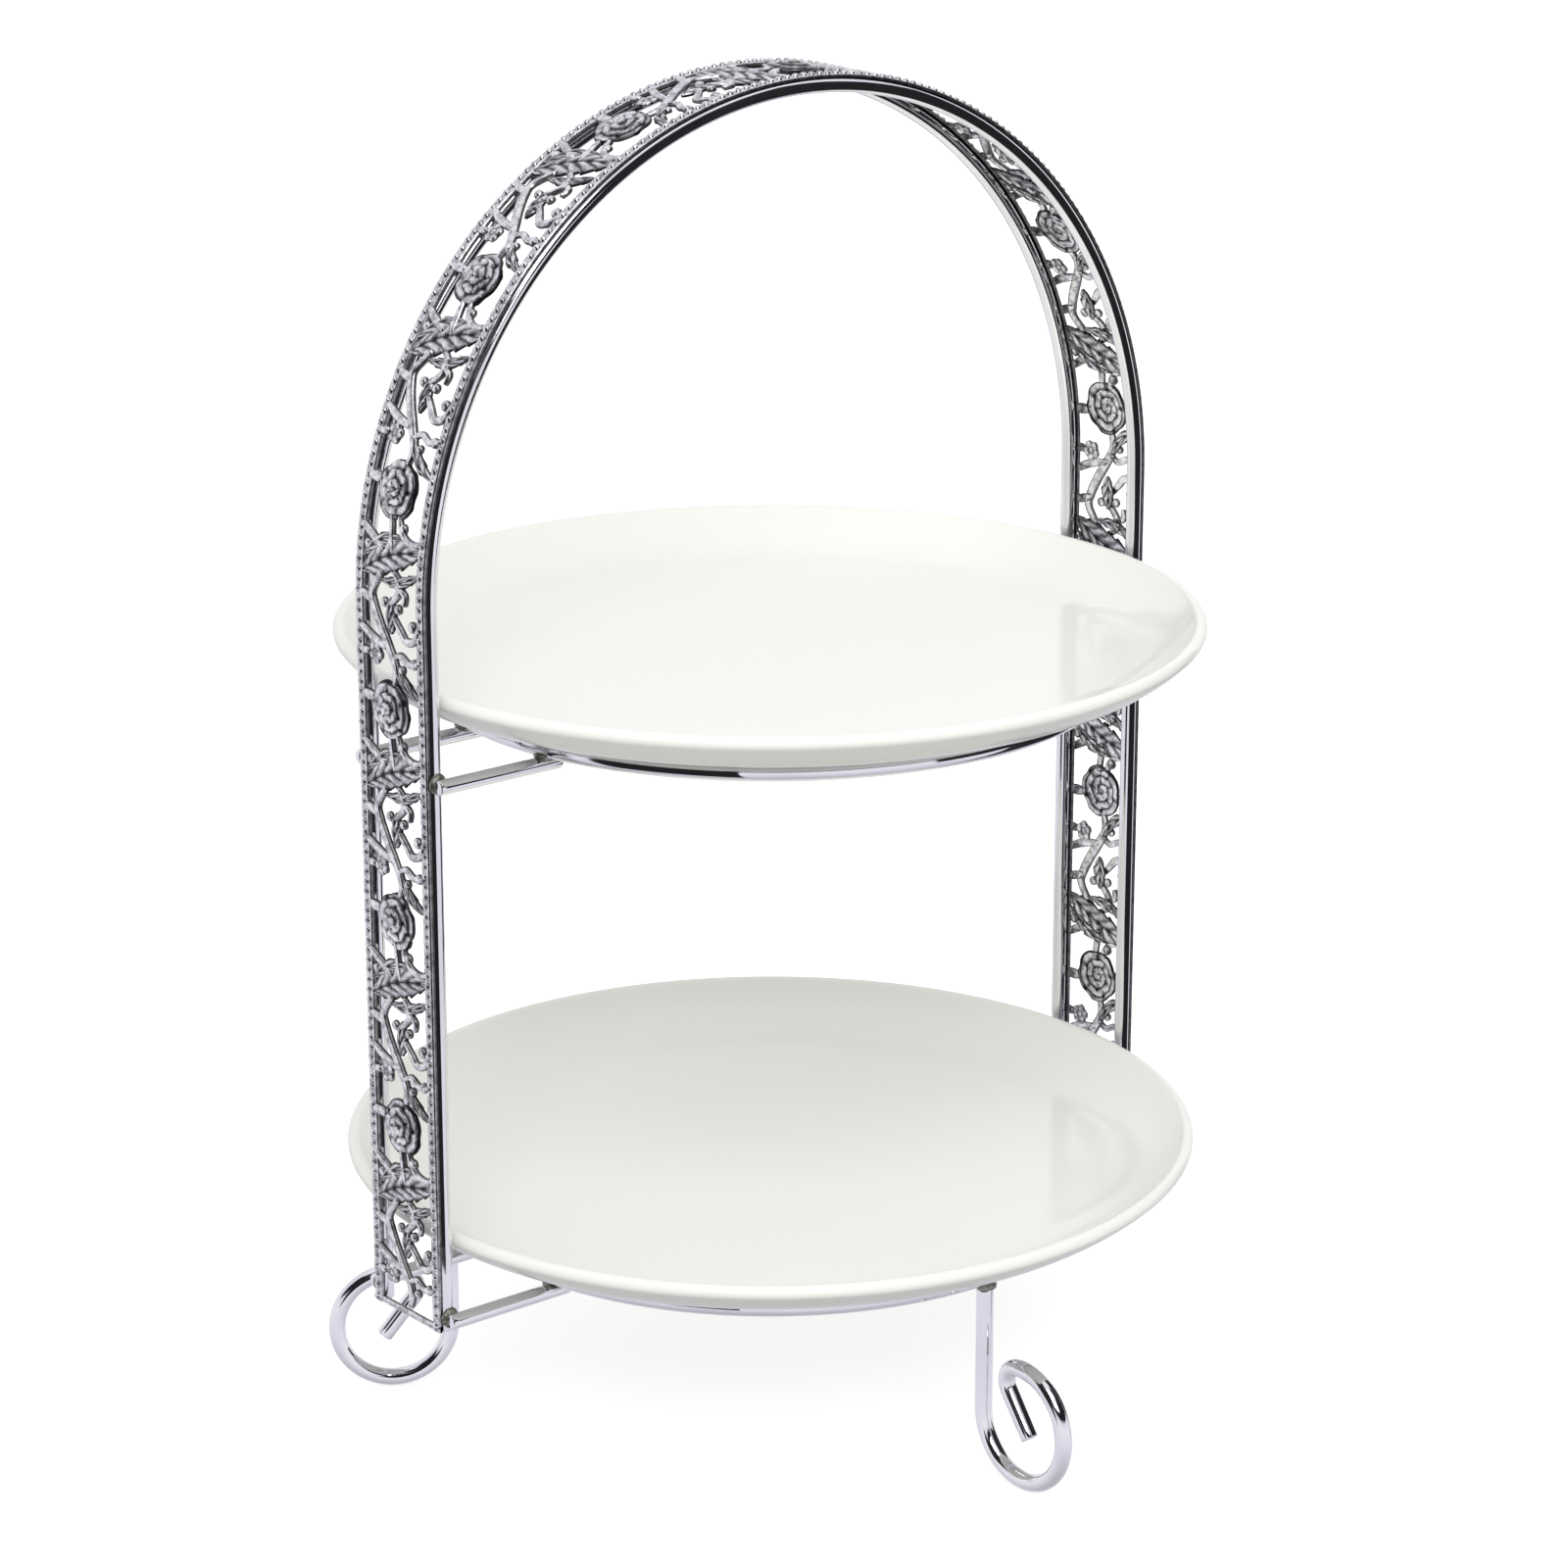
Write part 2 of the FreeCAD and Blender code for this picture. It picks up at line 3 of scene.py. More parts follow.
import bpy
import numpy as np
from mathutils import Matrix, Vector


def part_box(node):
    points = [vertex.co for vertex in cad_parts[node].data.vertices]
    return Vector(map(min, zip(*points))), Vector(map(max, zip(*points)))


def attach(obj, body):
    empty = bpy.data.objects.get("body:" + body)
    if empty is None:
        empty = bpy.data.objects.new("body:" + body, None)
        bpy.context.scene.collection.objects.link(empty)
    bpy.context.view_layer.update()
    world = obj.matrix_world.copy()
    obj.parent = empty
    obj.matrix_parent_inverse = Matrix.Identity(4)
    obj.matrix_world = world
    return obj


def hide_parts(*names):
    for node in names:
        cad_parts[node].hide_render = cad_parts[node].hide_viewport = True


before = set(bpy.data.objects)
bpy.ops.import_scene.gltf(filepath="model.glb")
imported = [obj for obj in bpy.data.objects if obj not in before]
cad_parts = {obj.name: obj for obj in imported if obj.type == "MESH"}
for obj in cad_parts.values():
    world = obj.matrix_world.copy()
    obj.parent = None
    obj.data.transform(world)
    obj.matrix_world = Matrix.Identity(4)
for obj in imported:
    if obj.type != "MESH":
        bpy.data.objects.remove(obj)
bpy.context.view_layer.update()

# Looks of a two-tier cake stand. Pieces are worked out in millimetres, in the part's own frame: +Z up,
# table at z = 0, arch in the XZ plane, front at -Y. Places and outer sizes of the wires, rings, rods,
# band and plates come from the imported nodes' boxes. The other sizes are named below.

MM = 0.001
STAND = "stand"


def box_mm(node):
    low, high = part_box(node)
    return np.array(low) / MM, np.array(high) / MM


# Wires
WIRE_SIDES = 28
CUT_ROUNDING = 0.35
RING_POINTS = 240
wire_low, wire_high = box_mm("front_arch_wire")
WIRE_R = (wire_high[1] - wire_low[1]) / 2
WIRE_Y = -(wire_high[1] + wire_low[1]) / 2
ARCH_R = wire_high[0] - WIRE_R
ARCH_Z = wire_high[2] - wire_high[0]
LIMB_END = wire_low[2]
LIMB = ARCH_Z - LIMB_END

# Band
band_high = box_mm("lace_band")[1]
BAND_HALF = band_high[1]
BAND_IN = ARCH_R + WIRE_R
SHEET = band_high[0] - BAND_IN
CROWN = math.pi * (BAND_IN + SHEET / 2)
BAND_LENGTH = 2 * LIMB + CROWN
MOTIF_START = 45.5
MOTIF_REPEAT = 48.5
PRESSED_METAL = SHEET * 0.6
BACK_RELIEF = 0.6
RAIL = 2.8
END_STRIP_HALF = 0.75
BEAD_PITCH = 2.3
BEAD_RADIUS = 0.92
ROSE_RADIUS = 6.7
FLOWER_RADIUS = 2.6
FLOWER_PLACE = (0.24, 0.44)

# Weld beads: half sizes along X, Y and Z
RING_WELD = (2.6, 2.3, 1.3)
LIMB_WELD = (2.2, 1.2, 2.3)
FOOT_WELD = (2.7, 2.7, 1.5)

# Feet
FOOT_TURNS = {"left": 150, "front": 270, "right": 30}
FOOT_CURL = 31.0
FOOT_CURL_END = 100
FOOT_BEND = 4.0
FOOT_TAIL = 12.0
FOOT_TAIL_SLOPE = 53

# Plates
PLATE_DEPTH = 9.0
PLATE_WALL = 3.4
PLATE_LIP = 1.7
PLATE_CURVE_RUN = 22.0
PLATE_SLOPE = 8
PLATE_SLOPE_RUN = 5.0
PLATE_FOOT_INSET = 7.0
PLATE_FOOT_WIDTH = 4.0
PLATE_FOOT_HEIGHT = 0.9
PLATE_FOOT_ROUNDING = 0.35
PLATE_SIDES = 240


# ---------------------------------------------------------------- materials


def map_range(tree, value, low, high, to_low, to_high):
    node = tree.nodes.new("ShaderNodeMapRange")
    numbers = (low, high, to_low, to_high)
    for socket, number in zip(("From Min", "From Max", "To Min", "To Max"), numbers):
        node.inputs[socket].default_value = number
    tree.links.new(value, node.inputs["Value"])
    return node.outputs["Result"]


def mix_colours(tree, factor, first, second):
    """A colour between two, each a colour or another node's output."""
    node = tree.nodes.new("ShaderNodeMix")
    node.data_type = "RGBA"
    tree.links.new(factor, node.inputs["Factor"])
    targets = [socket for socket in node.inputs if socket.type == "RGBA"]
    for target, colour in zip(targets, (first, second)):
        if isinstance(colour, tuple):
            target.default_value = (*colour, 1.0)
        else:
            tree.links.new(colour, target)
    return next(socket for socket in node.outputs if socket.type == "RGBA")


class Nodes:
    """A material's node tree, with short calls for the nodes used here."""

    def __init__(self, name):
        self.material = bpy.data.materials.new(name)
        self.material.use_nodes = True
        self.tree = self.material.node_tree
        self.shader = self.tree.nodes["Principled BSDF"]
        coordinates = self.tree.nodes.new("ShaderNodeTexCoord")
        self.object = coordinates.outputs["Object"]

    def link(self, source, target):
        self.tree.links.new(source, target)

    def noise(self, scale, detail=2.0, roughness=0.5):
        node = self.tree.nodes.new("ShaderNodeTexNoise")
        node.inputs["Scale"].default_value = scale
        node.inputs["Detail"].default_value = detail
        node.inputs["Roughness"].default_value = roughness
        self.link(self.object, node.inputs["Vector"])
        return node.outputs["Fac"]

    def attribute(self, name):
        node = self.tree.nodes.new("ShaderNodeAttribute")
        node.attribute_name = name
        return node.outputs["Fac"]

    def spread(self, value, low, high, to_low, to_high):
        return map_range(self.tree, value, low, high, to_low, to_high)

    def blend(self, factor, first, second):
        return mix_colours(self.tree, factor, first, second)

    def mottle(self, value, low, high, first, second):
        """One colour where the value is low, another where it is high."""
        return self.blend(self.spread(value, low, high, 0.0, 1.0), first, second)

    def fix(self, socket, number):
        self.shader.inputs[socket].default_value = number

    def drive(self, socket, output):
        self.link(output, self.shader.inputs[socket])

    def bump(self, height, strength, distance):
        node = self.tree.nodes.new("ShaderNodeBump")
        node.inputs["Strength"].default_value = strength
        node.inputs["Distance"].default_value = distance
        self.link(height, node.inputs["Height"])
        self.drive("Normal", node.outputs["Normal"])


def chrome():
    """Polished chrome plate: faint clouding in its colour and polish."""
    nodes = Nodes("wire_chrome_polished")
    nodes.fix("Metallic", 1.0)
    cloud = nodes.noise(45.0, 3.0)
    nodes.drive("Base Color", nodes.mottle(cloud, 0.35, 0.65, (0.80, 0.80, 0.83), (0.88, 0.88, 0.90)))
    nodes.drive("Roughness", nodes.spread(nodes.noise(160.0), 0.3, 0.7, 0.03, 0.10))
    nodes.bump(nodes.noise(220.0), 0.06, 0.0003)
    return nodes.material


def band_chrome():
    """Stamped chrome: bright on the high relief. Painted shade makes it near black and duller where the
    relief is cut in.
    """
    nodes = Nodes("band_chrome_stamped")
    nodes.fix("Metallic", 1.0)
    recess_shade = nodes.attribute("recess_shade")
    cloud = nodes.noise(650.0, 4.0, 0.6)
    bright = nodes.mottle(cloud, 0.38, 0.58, (0.42, 0.425, 0.435), (0.88, 0.88, 0.89))
    # Painted shade: the colour goes to near black by each vertex's painted shade value.
    nodes.drive("Base Color", nodes.blend(recess_shade, bright, (0.02, 0.021, 0.025)))
    nodes.drive("Roughness", nodes.spread(recess_shade, 0.0, 1.0, 0.2, 0.5))
    nodes.bump(nodes.noise(900.0), 0.15, 0.0002)
    return nodes.material


def weld_metal():
    """Plated-over weld: dull, mottled olive and grey."""
    nodes = Nodes("weld_metal")
    nodes.fix("Metallic", 0.85)
    cloud = nodes.noise(700.0, 4.0, 0.6)
    nodes.drive("Base Color", nodes.mottle(cloud, 0.35, 0.65, (0.07, 0.075, 0.045), (0.42, 0.42, 0.38)))
    nodes.drive("Roughness", nodes.spread(cloud, 0.3, 0.7, 0.55, 0.25))
    nodes.bump(nodes.noise(1400.0, 3.0), 0.5, 0.0003)
    return nodes.material


def porcelain():
    """White glaze with a faint warm and cool drift and a slight orange peel."""
    nodes = Nodes("porcelain_glaze")
    drift = nodes.noise(9.0)
    nodes.drive("Base Color", nodes.mottle(drift, 0.3, 0.7, (0.90, 0.895, 0.85), (0.92, 0.915, 0.88)))
    nodes.drive("Roughness", nodes.spread(nodes.noise(60.0), 0.3, 0.7, 0.10, 0.16))
    nodes.fix("IOR", 1.48)
    nodes.fix("Specular IOR Level", 0.3)
    nodes.bump(nodes.noise(120.0), 0.04, 0.0004)
    return nodes.material


def bisque():
    """The bare ground edge of a plate's foot ring."""
    nodes = Nodes("porcelain_bare_foot")
    grit = nodes.noise(1500.0, 4.0, 0.7)
    nodes.drive("Base Color", nodes.mottle(grit, 0.35, 0.65, (0.60, 0.57, 0.51), (0.76, 0.74, 0.69)))
    nodes.drive("Roughness", nodes.spread(grit, 0.3, 0.7, 0.7, 0.9))
    nodes.bump(grit, 0.4, 0.0002)
    return nodes.material


CHROME = chrome()
BAND_CHROME = band_chrome()
WELD = weld_metal()
PORCELAIN = porcelain()
BISQUE = bisque()


# ---------------------------------------------------------------- mesh building


def in_scene(name, data):
    item = bpy.data.objects.new(name, data)
    bpy.context.scene.collection.objects.link(item)
    return item


class Shell:
    """Vertices and faces gathered from several surfaces, with a painted shade value from 0 to 1 for each
    vertex.
    """

    def __init__(self):
        self.points, self.faces, self.values, self.count = [], [], [], 0

    def add(self, points, faces, values=None):
        self.points.append(points)
        self.faces += [tuple(int(corner) + self.count for corner in face) for face in faces]
        self.values.append(np.zeros(len(points)) if values is None else values)
        self.count += len(points)

    def piece(self, name, material, slot, body=STAND, replaces=(), place=None):
        points = np.vstack(self.points)
        if place:
            points = place(points)
        mesh = bpy.data.meshes.new(name)
        mesh.from_pydata((points * MM).tolist(), [], self.faces)
        mesh.polygons.foreach_set("use_smooth", [True] * len(mesh.polygons))
        # Painted shade: stored on each vertex for the band's material to darken its colour.
        layer = mesh.attributes.new("recess_shade", "FLOAT", "POINT")
        layer.data.foreach_set("value", np.concatenate(self.values).astype(np.float32))
        mesh.materials.append(material)
        mesh.update()
        piece = in_scene(name, mesh)
        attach(piece, body)
        if replaces:
            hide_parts(*replaces)
        return piece


def loft_faces(loops, points, closed_way=False):
    """Quads between neighbouring closed loops of points, and from last to first if closed_way."""
    faces = []
    last = loops if closed_way else loops - 1
    for i in range(last):
        a, b = i * points, (i + 1) % loops * points
        for j in range(points):
            k = (j + 1) % points
            faces.append((a + j, a + k, b + k, b + j))
    return faces


def capped(loops):
    """One closed surface through closed loops of points (loop, point, xyz), with a fan over each end."""
    count, size = loops.shape[:2]
    points = loops.reshape(-1, 3)
    faces = loft_faces(count, size)
    first, last = len(points), len(points) + 1
    end = (count - 1) * size
    for j in range(size):
        k = (j + 1) % size
        faces.append((first, k, j))
        faces.append((last, end + j, end + k))
    return np.vstack([points, loops[0].mean(0), loops[-1].mean(0)]), faces


def tube(path, radius, normal, closed=False):
    """A round wire along a flat path in the plane of the given normal. Cut ends are slightly rounded."""
    path = np.asarray(path, float)
    normal = np.asarray(normal, float)
    if closed:
        way = np.roll(path, -1, 0) - np.roll(path, 1, 0)
    else:
        way = np.gradient(path, axis=0)
    way /= np.linalg.norm(way, axis=1)[:, None]
    size = np.full(len(path), float(radius))
    if not closed:
        turn = np.linspace(0, math.pi / 2, 5)
        inward = CUT_ROUNDING * (1 - np.sin(turn))
        shrink = CUT_ROUNDING * (1 - np.cos(turn[::-1]))
        head = path[0] + way[0] * inward[::-1, None]
        tail = path[-1] - way[-1] * inward[:, None]
        path = np.vstack([head, path[1:-1], tail])
        way = np.vstack([np.repeat(way[:1], 5, 0), way[1:-1], np.repeat(way[-1:], 5, 0)])
        size = np.concatenate([radius - shrink, size[1:-1], radius - shrink[::-1]])
    across = np.cross(normal, way)
    angles = np.linspace(0, 2 * math.pi, WIRE_SIDES, endpoint=False)
    round_way = across[:, None] * np.cos(angles)[:, None] + normal * np.sin(angles)[:, None]
    loops = path[:, None] + round_way * size[:, None, None]
    if closed:
        return loops.reshape(-1, 3), loft_faces(len(path), WIRE_SIDES, True)
    return capped(loops)


def arc(centre, radius, first, last, step=3.0):
    """Points of an arc in a plane, from one angle to another in degrees."""
    count = max(3, int(abs(last - first) / step) + 1)
    angles = np.radians(np.linspace(first, last, count))
    return np.c_[centre[0] + radius * np.cos(angles), centre[1] + radius * np.sin(angles)]


def straight(start, finish, step=4.0):
    count = max(2, int(math.dist(start, finish) / step) + 1)
    return np.linspace(start, finish, count)


def lathe(shell, profile):
    """A surface turned about Z. The profile runs from the axis back to the axis."""
    angles = np.linspace(0, 2 * math.pi, PLATE_SIDES, endpoint=False)
    radius, height = profile[1:-1, 0], profile[1:-1, 1]
    loops = np.stack(
        [
            radius[:, None] * np.cos(angles),
            radius[:, None] * np.sin(angles),
            np.repeat(height[:, None], PLATE_SIDES, 1),
        ],
        axis=2,
    )
    points, faces = capped(loops)
    shell.add(points, [face[::-1] for face in faces])


def lump(centre, sizes, seed):
    """A small uneven weld bead. The seed sets where it bulges."""
    rings, sides = 10, 16
    polar = np.linspace(0, math.pi, rings + 2)[1:-1, None]
    around = np.linspace(0, 2 * math.pi, sides, endpoint=False)[None]
    uneven = 1 + 0.10 * np.sin(3 * around + seed) * np.sin(2 * polar + seed)
    uneven = uneven + 0.06 * np.sin(5 * around - 2 * seed) * np.sin(3 * polar)
    loops = np.stack(
        [
            sizes[0] * uneven * np.sin(polar) * np.cos(around),
            sizes[1] * uneven * np.sin(polar) * np.sin(around),
            sizes[2] * uneven * np.cos(polar) * np.ones_like(around),
        ],
        axis=2,
    )
    points, faces = capped(loops)
    return points + np.array(centre), faces


# ---------------------------------------------------------------- wires, rods, rings and feet


def arch_wires():
    up = straight((-ARCH_R, LIMB_END), (-ARCH_R, ARCH_Z))
    over = arc((0, ARCH_Z), ARCH_R, 180, 0, 1.5)
    flat = np.vstack([up[:-1], over, up[::-1][1:] * (-1, 1)])
    for name, side in (("front", -1), ("rear", 1)):
        path = np.c_[flat[:, 0], np.full(len(flat), side * WIRE_Y), flat[:, 1]]
        shell = Shell()
        shell.add(*tube(path, WIRE_R, (0, 1, 0)))
        shell.piece(f"arch_wire_{name}", CHROME, "wire_chrome", replaces=[f"{name}_arch_wire"])


def tier(name):
    """A ring, its four rods, and the welds that join them to each other and to the arch."""
    low, high = box_mm(f"{name}_ring")
    ring_wire = (high[2] - low[2]) / 2
    ring_radius, height = high[0] - ring_wire, (high[2] + low[2]) / 2
    angles = np.linspace(0, 2 * math.pi, RING_POINTS, endpoint=False)
    level = np.full(RING_POINTS, height)
    path = np.c_[ring_radius * np.cos(angles), ring_radius * np.sin(angles), level]
    shell = Shell()
    shell.add(*tube(path, ring_wire, (0, 0, 1), closed=True))
    shell.piece(f"ring_{name}", CHROME, "wire_chrome", replaces=[f"{name}_ring"])
    welds = Shell()
    for limb in ("left", "right"):
        for side in ("front", "rear"):
            node = f"{name}_{limb}_{side}_rod"
            low, high = box_mm(node)
            radius = (high[2] - low[2]) / 2
            y, z = (low[1] + high[1]) / 2, (low[2] + high[2]) / 2
            shell = Shell()
            shell.add(*tube(straight((low[0], y, z), (high[0], y, z)), radius, (0, 0, 1)))
            shell.piece(f"rod_{name}_{limb}_{side}", CHROME, "wire_chrome", replaces=[node])
            limb_sign = math.copysign(1, low[0])
            seed = z + 2 * y + limb_sign
            crossing = limb_sign * math.sqrt(ring_radius**2 - y**2)
            touch_y = math.copysign(WIRE_Y + WIRE_R, y)
            welds.add(*lump((crossing, y, z + radius), RING_WELD, seed))
            welds.add(*lump((limb_sign * ARCH_R, touch_y, z + 0.4), LIMB_WELD, seed + 1))
    if name == "lower":
        for turn in FOOT_TURNS.values():
            angle = math.radians(turn)
            spot = (ring_radius * math.cos(angle), ring_radius * math.sin(angle), height - ring_wire)
            welds.add(*lump(spot, FOOT_WELD, turn))
    welds.piece(f"welds_{name}", WELD, "wire_chrome")
    return ring_radius, ring_wire, height


def feet(ring_radius, ring_wire, ring_height):
    low, high = box_mm("foot_front")
    wire = (high[0] - low[0]) / 2
    middle = (ring_radius + FOOT_CURL / 2 - wire, FOOT_CURL / 2)
    radius = FOOT_CURL / 2 - wire

    def around(centre, distance, degrees):
        angle = math.radians(degrees)
        return centre[0] + distance * math.cos(angle), centre[1] + distance * math.sin(angle)

    bend = around(middle, radius - FOOT_BEND, FOOT_CURL_END)
    hook_end = 270 - FOOT_TAIL_SLOPE
    tail_start = around(bend, FOOT_BEND, hook_end)
    tail_end = around(tail_start, FOOT_TAIL, -FOOT_TAIL_SLOPE)
    flat = np.vstack(
        [
            straight((ring_radius, ring_height - ring_wire + 1), (ring_radius, middle[1]))[:-1],
            arc(middle, radius, 180, 360 + FOOT_CURL_END, 4.0)[:-1],
            arc(bend, FOOT_BEND, FOOT_CURL_END, hook_end, 8.0)[:-1],
            straight(tail_start, tail_end, 2.0),
        ]
    )
    for name, turn in FOOT_TURNS.items():
        angle = math.radians(turn)
        path = np.c_[flat[:, 0] * math.cos(angle), flat[:, 0] * math.sin(angle), flat[:, 1]]
        shell = Shell()
        shell.add(*tube(path, wire, (-math.sin(angle), math.cos(angle), 0)))
        shell.piece(f"foot_scroll_{name}", CHROME, "wire_chrome", replaces=[f"foot_{name}"])


# ---------------------------------------------------------------- the lace band


def bend_band(flat):
    """Band coordinates (along, across, out from the wires) to the stand's own."""
    along, across, out = flat.T
    on_crown = np.clip(along - LIMB, 0, CROWN)
    angle = math.pi * (1 - on_crown / CROWN)
    down = np.clip(LIMB - along, 0, None) + np.clip(along - LIMB - CROWN, 0, None)
    radius = BAND_IN + out
    return np.c_[radius * np.cos(angle), across, ARCH_Z + radius * np.sin(angle) - down]


def smooth_line(points, samples=8):
    """A Catmull-Rom curve through the points."""
    points = np.asarray(points, float)
    padded = np.vstack([2 * points[0] - points[1], points, 2 * points[-1] - points[-2]])
    out = []
    for i in range(len(points) - 1):
        a, b, c, d = padded[i : i + 4]
        for t in np.arange(samples) / samples:
            square, cube = (2 * a - 5 * b + 4 * c - d) * t**2, (3 * b - a - 3 * c + d) * t**3
            out.append((2 * b + (c - a) * t + square + cube) / 2)
    out.append(points[-1])
    return np.array(out)


def pressed_strip(shell, line, half, top, dark, metal=PRESSED_METAL, hollow=BACK_RELIEF, inside=None):
    """A pressed strip along a line, with the relief on its face and, shallower, on its back.

    half is the half width, and top and dark are the relief and the painted shade over each section's
    width, all of them for each place on the line. metal is how far a flat face lies above the band's
    inner side.
    hollow is the back's share of the relief. inside is one painted shade value for the back, if not the
    face's own.
    """
    way = np.gradient(line, axis=0)
    way /= np.linalg.norm(way, axis=1)[:, None]
    side = np.c_[-way[:, 1], way[:, 0]]
    across = np.linspace(1, -1, top.shape[1])
    places = line[:, None] + side[:, None] * (across[None, :, None] * half[:, None, None])
    face = np.concatenate([places, (top + metal)[:, :, None]], axis=2)
    back = np.concatenate([places, (top * hollow)[:, :, None]], axis=2)[:, ::-1]
    points, faces = capped(np.concatenate([face, back], axis=1))
    # Painted shade on the back: the face's, mirrored across, or the one value given.
    under = dark[:, ::-1] if inside is None else np.full(dark.shape, inside)
    shell.add(points, faces, np.append(np.concatenate([dark, under], axis=1).ravel(), (0.5, 0.5)))


def stem(shell, points, width):
    """A half-round stem that thins towards both ends."""
    line = smooth_line(points)
    t = np.linspace(0, 1, len(line))
    half = width / 2 * (0.55 + 0.45 * np.sin(math.pi * t) ** 0.6)
    profile = np.sqrt(1 - np.linspace(-0.98, 0.98, 9) ** 2)
    height = 0.75
    top = height * profile[None] * np.ones(len(line))[:, None]
    # Painted shade along both edges of the stem.
    dark = np.zeros(top.shape)
    dark[:, [0, -1]] = 0.8
    pressed_strip(shell, line, half, top, dark)


def leaf(shell, start, finish, width, bow, teeth):
    """A domed leaf with a cut midrib, slanting veins and a toothed edge."""
    start, finish = np.array(start), np.array(finish)
    turn = (finish - start)[::-1] * (-1, 1)
    line = smooth_line([start, (start + finish) / 2 + turn * bow, finish], 18)
    t = np.linspace(0, 1, len(line))
    teeth_cut = 1 - 0.26 * (t * teeth % 1)
    half = width / 2 * np.sin(math.pi * np.clip(t, 0.02, 0.98)) ** 0.7 * teeth_cut
    x = np.linspace(-1, 1, 17)
    height = 0.9
    swell = np.sin(math.pi * np.clip(t, 0.03, 0.97))[:, None] ** 0.5
    dome = height * (1 - np.abs(x[None]) ** 2.2) * swell
    rib = np.exp(-((x[None] / 0.12) ** 2)) * np.ones_like(t)[:, None]
    veins = 0.5 + 0.5 * np.cos(2 * math.pi * (t[:, None] * teeth - 1.3 * np.abs(x[None])))
    veins = veins**2 * (np.abs(x[None]) > 0.1)
    top = np.clip(dome - 0.35 * rib - 0.25 * veins, 0, None)
    # Painted shade in the cut midrib and the veins, and along the leaf's edge.
    dark = np.clip(rib + 0.95 * veins + np.abs(x[None]) ** 12, 0, 1)
    pressed_strip(shell, line, half, top, dark)


def polar_boss(shell, centre, outline, height, shade, rings, sides):
    """A raised round piece, shaped by outline(angle) and height(share, angle), with painted shade from
    shade(share, angle).
    """
    angles = np.linspace(0, 2 * math.pi, sides, endpoint=False)[None]
    shares = np.linspace(1, 0.03, rings)[:, None]
    reach = outline(angles) * shares
    relief = height(shares, angles) * np.ones_like(angles)
    dark = shade(shares, angles) * np.ones_like(angles)
    across, over = centre[0] + reach * np.cos(angles), centre[1] + reach * np.sin(angles)
    face = np.stack([across, over, relief + PRESSED_METAL], axis=2)
    back = np.stack([across, over, relief * BACK_RELIEF], axis=2)[::-1]
    points, faces = capped(np.concatenate([back, face]))
    shell.add(points, faces, np.append(np.concatenate([dark[::-1], dark]).ravel(), (0.1, 0.1)))


def rose(shell, centre, radius, turn):
    """An open rose: whorls of five overlapping petals that swirl in to the heart."""
    whorls, half_petals = 3.2, 2.5

    def outline(angle):
        return radius * (1 - 0.07 * np.abs(np.cos(half_petals * (angle + turn))) ** 6)

    def swirl(share, angle):
        whorl = share * whorls - (angle + turn) / (2 * math.pi)
        return whorl - np.floor(whorl)

    def overlap(share, angle):
        ring = np.floor(share * whorls)
        edge = np.abs(np.cos(half_petals * (angle + turn) + 1.3 * ring))
        return np.clip((edge - 0.93) / 0.07, 0, 1) * (share > 0.2)

    def height(share, angle):
        lift = swirl(share, angle)
        dome = 0.2 + 1.1 * (1 - share**2)
        return dome + 0.6 * lift**2 - 0.2 * overlap(share, angle)

    # Painted shade: dark under each swirl's raised petal edge, where petals overlap, and round the rim.
    def shade(share, angle):
        lift = swirl(share, angle)
        under = np.clip(1.25 - lift / 0.42, 0, 1)
        return np.clip(under + 0.8 * overlap(share, angle) + (share > 0.96) * 0.9, 0, 1)

    polar_boss(shell, centre, outline, height, shade, 30, 84)


def flower(shell, centre, radius, petals, turn):
    """A small open flower with a round heart."""
    half_petals = petals / 2

    def outline(angle):
        return radius * (0.78 + 0.22 * np.abs(np.cos(half_petals * (angle + turn))))

    def height(share, angle):
        heart = np.clip(1 - (share / 0.32) ** 2, 0, 1) * 0.6
        cup = 0.5 * np.sin(math.pi * np.clip((share - 0.2) / 0.85, 0, 1))
        return heart + cup * (0.6 + 0.4 * np.abs(np.cos(half_petals * (angle + turn))))

    # Painted shade in the creases between petals, in a ring round the heart, and round the rim.
    def shade(share, angle):
        crease = np.abs(np.sin(half_petals * (angle + turn)))
        valley = np.clip((crease - 0.9) / 0.1, 0, 1) * (share > 0.3)
        ring = np.exp(-(((share - 0.34) / 0.07) ** 2))
        return np.clip(0.7 * valley + 0.9 * ring + (share > 0.96) * 0.7, 0, 1)

    polar_boss(shell, centre, outline, height, shade, 12, 40)


def bud(shell, centre, radius):
    """A plain round knob."""

    def height(share, angle):
        return 0.8 * np.sqrt(np.clip(1 - share**2, 0, 1))

    # Painted shade towards the knob's edge.
    def shade(share, angle):
        return np.clip((share - 0.75) / 0.25, 0, 1) * 0.8

    polar_boss(shell, centre, lambda angle: radius + 0 * angle, height, shade, 6, 16)


